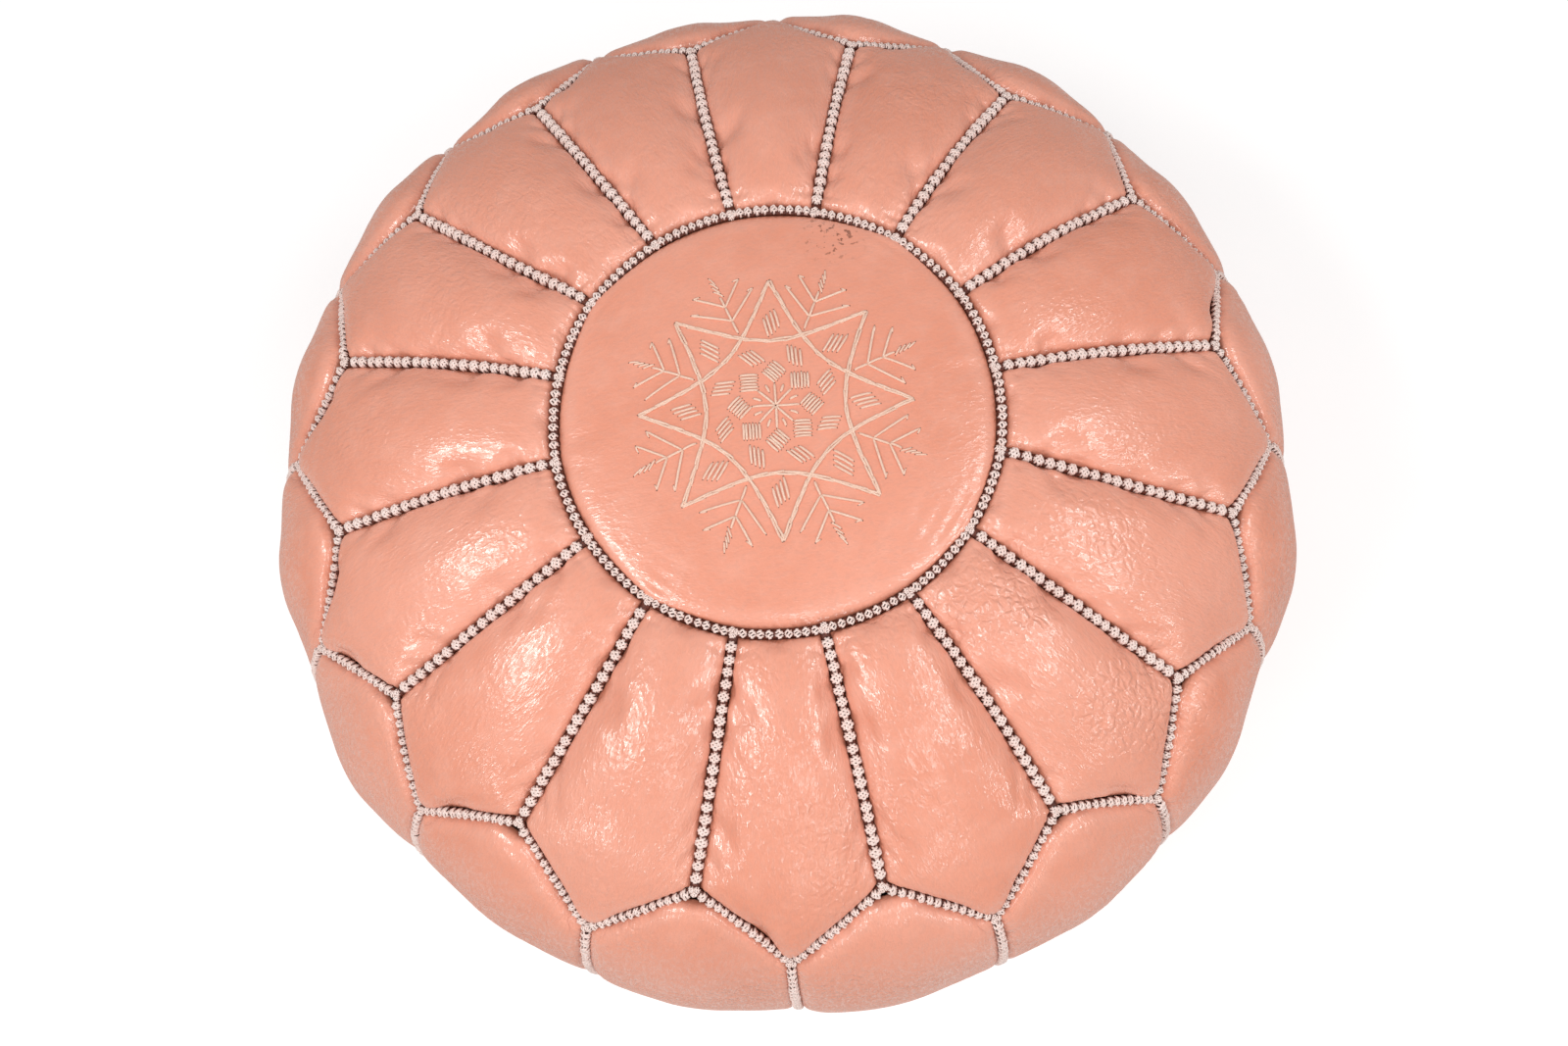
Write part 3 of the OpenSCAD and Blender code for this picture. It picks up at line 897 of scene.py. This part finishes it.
def bead_kinds(seed, lean, over, under, size):
    """Four beads of one kind, with strands at the offsets over that cross those under."""
    rng = random.Random(seed)
    beads = []
    for _ in range(4):
        angle = lean(rng)
        strands = [(angle, c * MM, 1) for c in over] + [(-angle, c * MM, -1) for c in under]
        beads.append(strand_bead(strands, *(c * MM for c in size), rng))
    return beads


def one_of(*degrees):
    return lambda rng: math.radians(rng.choice(degrees))


def between(low, high):
    return lambda rng: rng.uniform(low, high)


# Each kind: its strands' lean, their offsets, and half its length, half its width, its height
# and its thread's radius
KNOTS = bead_kinds(1, one_of(50, 56, 62), (-1.15, 0, 1.15), (-1.15, -0.1, 1.1),
                   (1.8, 2.05, 2.3, 0.44))
LAID = bead_kinds(2, between(0.5, 0.75), (-1.1, 0, 1.1), (-0.9, 0.9), (1.2, 2.2, 1.9, 0.4))
WRAPS = bead_kinds(3, one_of(58, 66, 74), (-1.0, 0, 1.0), (-0.7, 0.7), (1.35, 1.95, 1.9, 0.42))
TIGHT = bead_kinds(4, one_of(62, 70, 78), (-0.7, 0.7), (-0.5, 0.5), (1.25, 2.05, 2.5, 0.42))


def place_bead(heap, kind, point, along, out, rng, scale=1.0, turn=0.0):
    verts, faces = kind
    side = unit(np.cross(out, along))
    out = unit(np.cross(along, side))
    turn += rng.uniform(-0.1, 0.1)
    x = math.cos(turn) * along + math.sin(turn) * side
    y = math.cos(turn) * side - math.sin(turn) * along
    size = scale * rng.uniform(0.93, 1.06)
    flip = rng.choice((-1, 1))
    axes = np.stack([x * flip, y * flip, out])
    heap.add(point + (verts * size) @ axes, faces, rng.random())


CORE_WIDE = 1.85 * MM
CORE_HIGH = 1.1 * MM


def sew(heap, route, out_at, kinds, pitch, rng, trim=(0.6, 0.6), scale=1.0, closed=False):
    """Beads along a route, over a dark cord a little wider than they are."""
    usable = route.length - (0 if closed else (trim[0] + trim[1]) * pitch)
    start = 0 if closed else trim[0] * pitch
    count = max(2, round(usable / pitch))
    for i in range(count):
        t = (start + (i + 0.5 + rng.uniform(-0.07, 0.07)) * usable / count) / route.length
        point, along = route.at(t), route.direction(np.array(t))
        out = out_at(point, along, t)
        sway = rng.uniform(-0.12, 0.12) * MM * unit(np.cross(out, along))
        place_bead(heap, rng.choice(kinds), point + sway, along, out, rng, scale)
    steps = max(8, int(route.length / (2.5 * MM)))
    ts = np.linspace(0, 1, steps)
    path = route.at(ts)
    outs = np.array([out_at(p, route.direction(np.array(t)), t) for p, t in zip(path, ts)])
    sides = unit(np.cross(outs, route.direction(ts)))
    swell = CORE_HIGH * scale * (1 + 0.05 * np.sin(ts * route.length / (7 * MM)))
    verts, faces = tube(path - outs * 0.25 * MM, swell, 10, CORE_WIDE / CORE_HIGH, sides)
    heap.add(verts, faces, rng.random(), 1)


def round_way(point):
    return unit(point * [1, 1, 0])


def out_of_petals(point, along, t):
    sideways = np.cross(UP, round_way(point))
    out = np.cross(along, sideways)
    return unit(out if out[2] > 0 else -out)


def leaning(up_share, out_share):
    return lambda point, along, t: unit(up_share * UP + out_share * round_way(point))


def out_of_side(point, along, t):
    outward = round_way(point)
    return unit(outward * -along[2] + UP * (along @ outward))


def join_knot(heap, point, out, rng, scale=1.0):
    """The cluster of small knots where seams meet."""
    along = unit(np.cross(out, np.cross(round_way(point), out)))
    beside = np.cross(out, along)
    turn = rng.uniform(0, 2)
    for k in range(3):
        a = turn + k * math.tau / 3
        spot = point + (math.cos(a) * along + math.sin(a) * beside) * 1.35 * MM * scale
        place_bead(heap, rng.choice(WRAPS), spot, along, out, rng, 0.82 * scale, a)


rng = random.Random(11)
BOTH = [SEAM_THREAD, SEAM_CORE]

heap = Heap()
for k in range(PANELS):
    sew(heap, rim_seams[k], leaning(0.98, 0.18), LAID, 3.85 * MM, rng, (0.5, 0.5), 1.15)
    join_knot(heap, rim_points[k], leaning(0.98, 0.2)(rim_points[k], 0, 0), rng)
heap.make("medallion_seam_thread", BOTH, "medallion_seam")

heap = Heap()
for k in range(PANELS):
    sew(heap, radial_seams[k], out_of_petals, KNOTS, 5.15 * MM, rng, (0.75, 0.7), 1.18)
heap.make("petal_seam_thread", BOTH, "petal_seams")

heap = Heap()
zigzag_out_way = leaning(0.85, 0.5)
for k in range(PANELS):
    for route in (zigzag_out[k], zigzag_in[k]):
        sew(heap, route, zigzag_out_way, WRAPS, 4.2 * MM, rng, (0.6, 0.6), 1.15)
    for point in (shoulder_points[k], tip_points[k]):
        join_knot(heap, point, zigzag_out_way(point, 0, 0), rng, 1.02)
heap.make("zigzag_seam_thread", BOTH, "zigzag_seams")

for part, first in (("a", 0), ("b", PANELS // 2)):
    heap = Heap()
    for k in range(first, first + PANELS // 2):
        sew(heap, side_seams[k], out_of_side, TIGHT, 4.7 * MM, rng, (0.45, 0.4), 1.18)
    heap.make(f"side_seam_thread_{part}", BOTH, "side_seams")

heap = Heap()
under_edge = leaning(-0.93, 0.36)
sew(heap, base_ring, under_edge, WRAPS, 4.3 * MM, rng, closed=True)
for k in range(PANELS):
    point = polar(BASE_R, (k + 0.5) * PITCH, BASE_Z)
    join_knot(heap, point, under_edge(point, 0, 0), rng)
heap.make("base_seam_thread", BOTH, "base_seam")

# ---- Embroidery: single stitches laid on the medallion ----

STAR_TURN = math.radians(-9)
STITCH_R = 0.56 * MM
STAR_TIP = 0.607
STAR_HOLLOW = 0.256
STAR_TIGHT = 2.5
STITCH_LONG = 8.5 * MM

top_mesh = top.data
tree = BVHTree.FromPolygons(
    [v.co for v in top_mesh.vertices], [p.vertices for p in top_mesh.polygons]
)
needle = random.Random(23)
stitches = Heap()


def on_medallion(x, y):
    """The leather's height at a point that is turned with the star."""
    c, s = math.cos(STAR_TURN), math.sin(STAR_TURN)
    x, y = c * x - s * y, s * x + c * y
    hit = tree.ray_cast(Vector((x, y, RIM_Z + 0.1)), Vector((0, 0, -1)))
    return np.array(hit[0])


def hole_shade(point):
    """Painted shade: a small dark plug where the thread goes through the leather."""
    a = np.arange(6) * math.tau / 6
    ring = np.column_stack([np.cos(a), np.sin(a), np.zeros(6)]) * 0.4 * MM
    verts = np.concatenate([point + ring - UP * 0.3 * MM, point + ring * 0.6 + UP * 0.07 * MM])
    faces = ring_faces(2, 6) + [[5, 4, 3, 2, 1, 0], [6, 7, 8, 9, 10, 11]]
    stitches.add(verts, faces, needle.random(), 1)


def stitch(a, b, radius=STITCH_R, slack=0.12, rise=1.0, hole_shades=True):
    """One thread from a to b, as points of the medallion's plane, with ends that go in."""
    a, b = (np.asarray(p, float) + needle.uniform(-slack, slack) * MM for p in (a, b))
    s = np.array([0, 0.05, 0.18, 0.5, 0.82, 0.95, 1.0])
    height = np.array([-0.5, 0.25, 0.7, 0.85, 0.7, 0.25, -0.5]) * radius * rise
    sag = needle.uniform(-0.2, 0.2) * MM
    beside = np.array([a[1] - b[1], b[0] - a[0]])
    beside /= max(np.linalg.norm(beside), 1e-9)
    points = []
    for t, h in zip(s, height):
        x, y = a * (1 - t) + b * t + beside * sag * math.sin(math.pi * t)
        points.append(on_medallion(x, y) + UP * h)
    swell = radius * np.array([0.55, 0.9, 1, 1.04, 1, 0.9, 0.55])
    stitches.add(*tube(points, swell, 7, side_way=unit(np.cross(UP, points[-1] - points[0]))),
                 needle.random())
    # Painted shade plugs at both ends of the stitch
    if hole_shades:
        for end, other in ((points[0], points[-1]), (points[-1], points[0])):
            hole_shade(end + UP * 0.5 * radius + unit(end - other) * 0.25 * MM)


def at(r, angle):
    """A point of the medallion's plane, with r as a share of its radius."""
    return np.array([math.cos(angle), math.sin(angle)]) * r * RIM_R


def stem_line(points, gap=0.46 * MM):
    """Two rows of overlapping stitches along a line."""
    points = np.asarray(points)
    steps = np.linalg.norm(np.diff(points, axis=0), axis=1)
    run = np.concatenate([[0], np.cumsum(steps)])
    total = run[-1]

    def along(d):
        return np.array([np.interp(d, run, points[:, k]) for k in (0, 1)])

    for row in (-1, 1):
        d = -0.25 * STITCH_LONG * (row + 1)
        while d < total - 1 * MM:
            start, stop = max(d, 0), min(d + STITCH_LONG * needle.uniform(0.85, 1.3), total)
            if stop - start > 2.2 * MM:
                a, b = along(start), along(stop)
                way = (b - a) / np.linalg.norm(b - a)
                beside = np.array([-way[1], way[0]]) * gap * row
                lean = beside * needle.uniform(0.2, 0.7)
                # Some stitches get painted shade plugs at their ends
                stitch(a + beside - lean, b + beside + lean * 0.6, 0.52 * MM, 0.08,
                       hole_shades=needle.random() < 0.6)
            d = stop - 0.8 * MM if stop < total else total


def block(centre, way, count, long, pitch, stagger=0.0):
    """A block of parallel stitches."""
    way_in = np.array([math.cos(way), math.sin(way)])
    beside = np.array([-way_in[1], way_in[0]])
    for i in range(count):
        off = (i - (count - 1) / 2) * pitch
        middle = centre + beside * off + way_in * off * stagger
        half = way_in * long / 2 * needle.uniform(0.92, 1.06)
        stitch(middle - half, middle + half)


EIGHTH = math.tau / 8
for k in range(8):
    spoke, half = k * EIGHTH, (k + 0.5) * EIGHTH
    # The star: two squares whose sides bow in
    first, last = at(STAR_TIP, spoke), at(STAR_TIP, spoke + 2 * EIGHTH)
    hollow = at(STAR_HOLLOW, spoke + EIGHTH)
    t = np.linspace(0, 1, 61)[:, None]
    weights = (1 - t) ** 2, 2 * STAR_TIGHT * t * (1 - t), t**2
    side = (first * weights[0] + hollow * weights[1] + last * weights[2]) / sum(weights)
    stem_line(side)
    # Blocks in the star's points, around its waist and around its middle
    block(at(0.395, spoke), spoke + math.radians(12), 4, 9.2 * MM, 1.85 * MM, -0.55)
    block(at(0.248, half), half + math.radians(25), 4, 8.4 * MM, 1.7 * MM, 0.5)
    block(at(0.159, spoke), spoke + math.pi / 4, 6, 7.4 * MM, 1.42 * MM)
    stitch(at(0.004, spoke), at(0.104, spoke))
    stitch(at(0.069, half), at(0.103, half))
    # A sprig between each two points: a stem, a leaf and two pairs of branches with hooks
    joints = at(0.451, half), at(0.526, half)
    leaf_base, leaf_tip = at(0.582, half), at(0.692, half)
    for a, b in ((at(0.386, half), joints[0]), joints, (joints[1], leaf_base)):
        stitch(a, b)
    out_way = at(1, half) / RIM_R
    side_way = np.array([-out_way[1], out_way[0]])
    for joint, r, off in ((joints[0], 0.559, 0.151), (joints[1], 0.628, 0.111)):
        for sign in (-1, 1):
            end = (out_way * r + side_way * off * sign) * RIM_R
            stitch(joint, end)
            hook = end - side_way * sign * 0.026 * RIM_R * needle.uniform(0.7, 1.2)
            stitch(end, hook + out_way * needle.uniform(-0.012, 0.004) * RIM_R, 0.4 * MM)
    for i in range(4):
        t0, t1 = i * 0.2, 0.35 + i * 0.215
        lean = side_way * 0.014 * RIM_R * (1 - i * 0.15)
        start = leaf_base * (1 - t0) + leaf_tip * t0
        stop = leaf_base * (1 - t1) + leaf_tip * t1
        stitch(start - lean, stop + lean, 0.42 * MM)
stitches.make("embroidery_thread", [EMBROIDERY, NEEDLE_HOLE_SHADE], "embroidery",
              slot_name="embroidery_thread")

# ---- The underside: two base halves with the zip's channel between them ----

BASE_FLAT_R = 0.83 * BASE_R
CHANNEL_FOOT = 30 * MM
zip_tape_low, zip_tape_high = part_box("zip_tape_left")
CHANNEL_Z = zip_tape_low.z
SHELF_EDGE = 12 * MM
HEM_EDGE = 5.5 * MM
HEM_STITCH = 3.0 * MM
PUCKERS = 58
PUCKER_HIGH = 0.9 * MM
PUCKERS_FROM = 0.86


def base_height(x, y):
    r = np.hypot(x, y)
    dish = BASE_Z * np.clip((r - BASE_FLAT_R) / (BASE_R - BASE_FLAT_R), 0, 1) ** 2
    ramp = np.clip((CHANNEL_FOOT - np.abs(y)) / (CHANNEL_FOOT - SHELF_EDGE), 0, 1)
    return np.maximum(dish, CHANNEL_Z * ramp * ramp * (3 - 2 * ramp))


def base_half(side, rows=29, cols=57):
    """Half of the base on the side of +Y or -Y, as a grid pressed into a half disc."""
    v, u = np.meshgrid(np.linspace(0, 1, rows), np.linspace(-1, 1, cols) * side, indexing="ij")
    x, y = u * np.sqrt(1 - v * v / 2), v * np.sqrt(1 - u * u / 2)
    outer = BASE_R - EDGE_GAP
    x, y = x * outer, side * (HEM_EDGE + y * (outer - HEM_EDGE))
    r = np.hypot(x, y)
    pull = np.clip((r / BASE_R - PUCKERS_FROM) / (1 - PUCKERS_FROM), 0, 1)
    turn = np.arctan2(y, x)
    pucker = 0.5 - 0.5 * np.cos(turn * PUCKERS + 2 * np.sin(5 * turn))
    grid = np.stack([x, y, base_height(x, y)], -1)
    grid[..., 2] += PUCKER_HIGH * pucker * pull * (1 - pull) * 4
    grid[..., 2] += 0.5 * MM * np.clip(noise_field(grid, 34 * MM, 5), 0, 1)
    return grid


BASE_LEATHER = leather_material("base_leather")
for node in ("base_panel_left", "base_panel_right"):
    node_low, node_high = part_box(node)
    side = 1 if node_low.y + node_high.y > 0 else -1
    panel(f"{node}_leather", base_half(side), BASE_LEATHER, 400 + side, node, "base_leather",
          fill=0.3, gather_pitch=(4.6 * MM, 4.6 * MM), lumps=0.2, lowest=0.0, crumple=0.3)


def hem_stitches():
    """The rows that hold the two hems to the zip's tapes."""
    hems = Heap()
    reach = zip_tape_high.x - 4 * MM
    row = (HEM_EDGE + SHELF_EDGE) / 2
    for side in (-1, 1):
        x = -reach
        while x < reach:
            points = [
                (x + s * HEM_STITCH, side * row, CHANNEL_Z - h * MM)
                for s, h in ((0, -0.5), (0.15, 0.15), (0.5, 0.3), (0.85, 0.15), (1, -0.5))
            ]
            hems.add(*tube(points, 0.36 * MM), rng.random())
            x += HEM_STITCH * 1.35
    return hems


hem_stitches().make("base_hem_stitches", BOTH, "base_seam")

# ---- The wadding inside ----


WADDING_INSET = 11 * MM


def wadding(cols=96):
    """The stuffing's lumpy outside, a little inside the leather."""
    top_r = np.linspace(0.03, 0.97, 22) * SHOULDER_R
    crown = np.stack([top_r, np.minimum(crown_height(np.stack([top_r, 0 * top_r], -1)), RIM_Z)], -1)
    side = profile_curve(np.linspace(0.02, 0.93, 30))
    low_r = np.linspace(0.93, 0.03, 16) * BASE_R
    floor = np.stack([low_r, np.full(16, BASE_Z)], -1)
    profile = np.concatenate([crown, side, floor])
    way = unit(np.gradient(profile, axis=0))
    inward = np.stack([way[:, 1], -way[:, 0]], -1)
    profile = profile + inward * WADDING_INSET
    profile[:, 0] = np.maximum(profile[:, 0], 3 * MM)
    profile[:, 1] = np.maximum(profile[:, 1], CHANNEL_Z + 7 * MM)
    angle = np.arange(cols) * math.tau / cols
    ring = np.stack([np.cos(angle), np.sin(angle)], -1)
    grid = np.concatenate(
        [profile[:, None, :1] * ring[None], np.repeat(profile[:, None, 1:], cols, 1)], -1
    )
    lump = 2.5 * MM * noise_field(grid, 40 * MM, 9) + 1.2 * MM * noise_field(grid, 15 * MM, 10)
    outward = np.pad(unit(grid[..., :2]), ((0, 0), (0, 0), (0, 1)))
    grid = grid - outward * (3.5 * MM + lump)[..., None]
    count = len(profile)
    verts = np.concatenate([grid.reshape(-1, 3), [[0, 0, grid[0, 0, 2]], [0, 0, grid[-1, 0, 2]]]])
    faces = [[a, d, c, b] for a, b, c, d in ring_faces(count, cols)]
    faces += [[count * cols, j, (j + 1) % cols] for j in range(cols)]
    last = (count - 1) * cols
    faces += [[count * cols + 1, last + (j + 1) % cols, last + j] for j in range(cols)]
    return new_mesh("stuffing_wadding", verts, faces, WADDING)


filling = wadding()
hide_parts("stuffing")
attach(filling, "cover")

# ---- The zip keeps its CAD shapes ----

for name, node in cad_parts.items():
    if name.startswith("zip_"):
        made_of = ZIP_TAPE if "tape" in name else ZIP_METAL
        for slot in node.material_slots:
            slot.material = made_of

# ---- Stage and light ----

FLOOR_SIZE = 12.0
FLOOR_GLOW = 0.33
FLOOR_BOUNCE = srgb(226, 214, 208)
LAMP_DISTANCE = 1.4
LAMP_AIM = Vector((0, 0, 0.15))
SKY = 0.4
BACKDROP = 0.95


def stage_floor():
    n = Nodes("floor")
    paper = n.noise(6, 2, 0.5)
    white = n.blend(paper, srgb(243, 243, 243), srgb(250, 250, 250))
    seen_first = n.tree.nodes.new("ShaderNodeLightPath").outputs["Is Camera Ray"]
    colour = n.blend(seen_first, FLOOR_BOUNCE, white)
    glow = n.span(seen_first, 0, 1, 0, FLOOR_GLOW)
    material = n.finish(Base_Color=colour, Roughness=0.9, Emission_Strength=glow,
                        Emission_Color=(1, 1, 1, 1))
    half = FLOOR_SIZE / 2
    corners = [(-half, -half, 0), (half, -half, 0), (half, half, 0), (-half, half, 0)]
    floor = new_mesh("floor", corners, [(0, 1, 2, 3)], material)


def soft_light(name, azimuth, elevation, size, power):
    """A square area light that faces the pouf, from a compass angle and a height angle."""
    data = bpy.data.lights.new(name, "AREA")
    data.shape = "RECTANGLE"
    data.size, data.size_y = size
    data.energy = power
    light = bpy.data.objects.new(name, data)
    a, e = math.radians(azimuth), math.radians(elevation)
    way = Vector((math.cos(e) * math.cos(a), math.cos(e) * math.sin(a), math.sin(e)))
    light.matrix_world = Matrix.Translation(way * LAMP_DISTANCE + LAMP_AIM) @ (
        way.to_track_quat("Z", "Y").to_matrix().to_4x4()
    )
    bpy.context.scene.collection.objects.link(light)


stage_floor()
LAMPS = (
    ("left", 182, 56, (0.3, 0.4), 3.8),
    ("front_left", 208, 56, (0.3, 0.4), 3.1),
    ("front", 272, 56, (0.3, 0.4), 1.3),
    ("front_right", 322, 55, (0.3, 0.4), 2.5),
    ("right", 356, 54, (0.3, 0.4), 2.4),
    ("low_left", 222, 29, (0.2, 0.2), 1.2),
    ("low_front", 272, 30, (0.2, 0.2), 0.7),
    ("low_right", 318, 29, (0.2, 0.2), 1.2),
)
for lamp in LAMPS:
    soft_light(*lamp)

world = bpy.data.worlds.new("studio")
bpy.context.scene.world = world
world.use_nodes = True
tree = world.node_tree
sky = tree.nodes["Background"]
backdrop = tree.nodes.new("ShaderNodeBackground")
for source, strength in ((sky, SKY), (backdrop, BACKDROP)):
    source.inputs["Color"].default_value = (1, 1, 1, 1)
    source.inputs["Strength"].default_value = strength
seen_first = tree.nodes.new("ShaderNodeLightPath").outputs["Is Camera Ray"]
either = tree.nodes.new("ShaderNodeMixShader")
tree.links.new(seen_first, either.inputs[0])
tree.links.new(sky.outputs[0], either.inputs[1])
tree.links.new(backdrop.outputs[0], either.inputs[2])
tree.links.new(either.outputs[0], tree.nodes["World Output"].inputs["Surface"])
bpy.context.scene.view_settings.view_transform = "Standard"
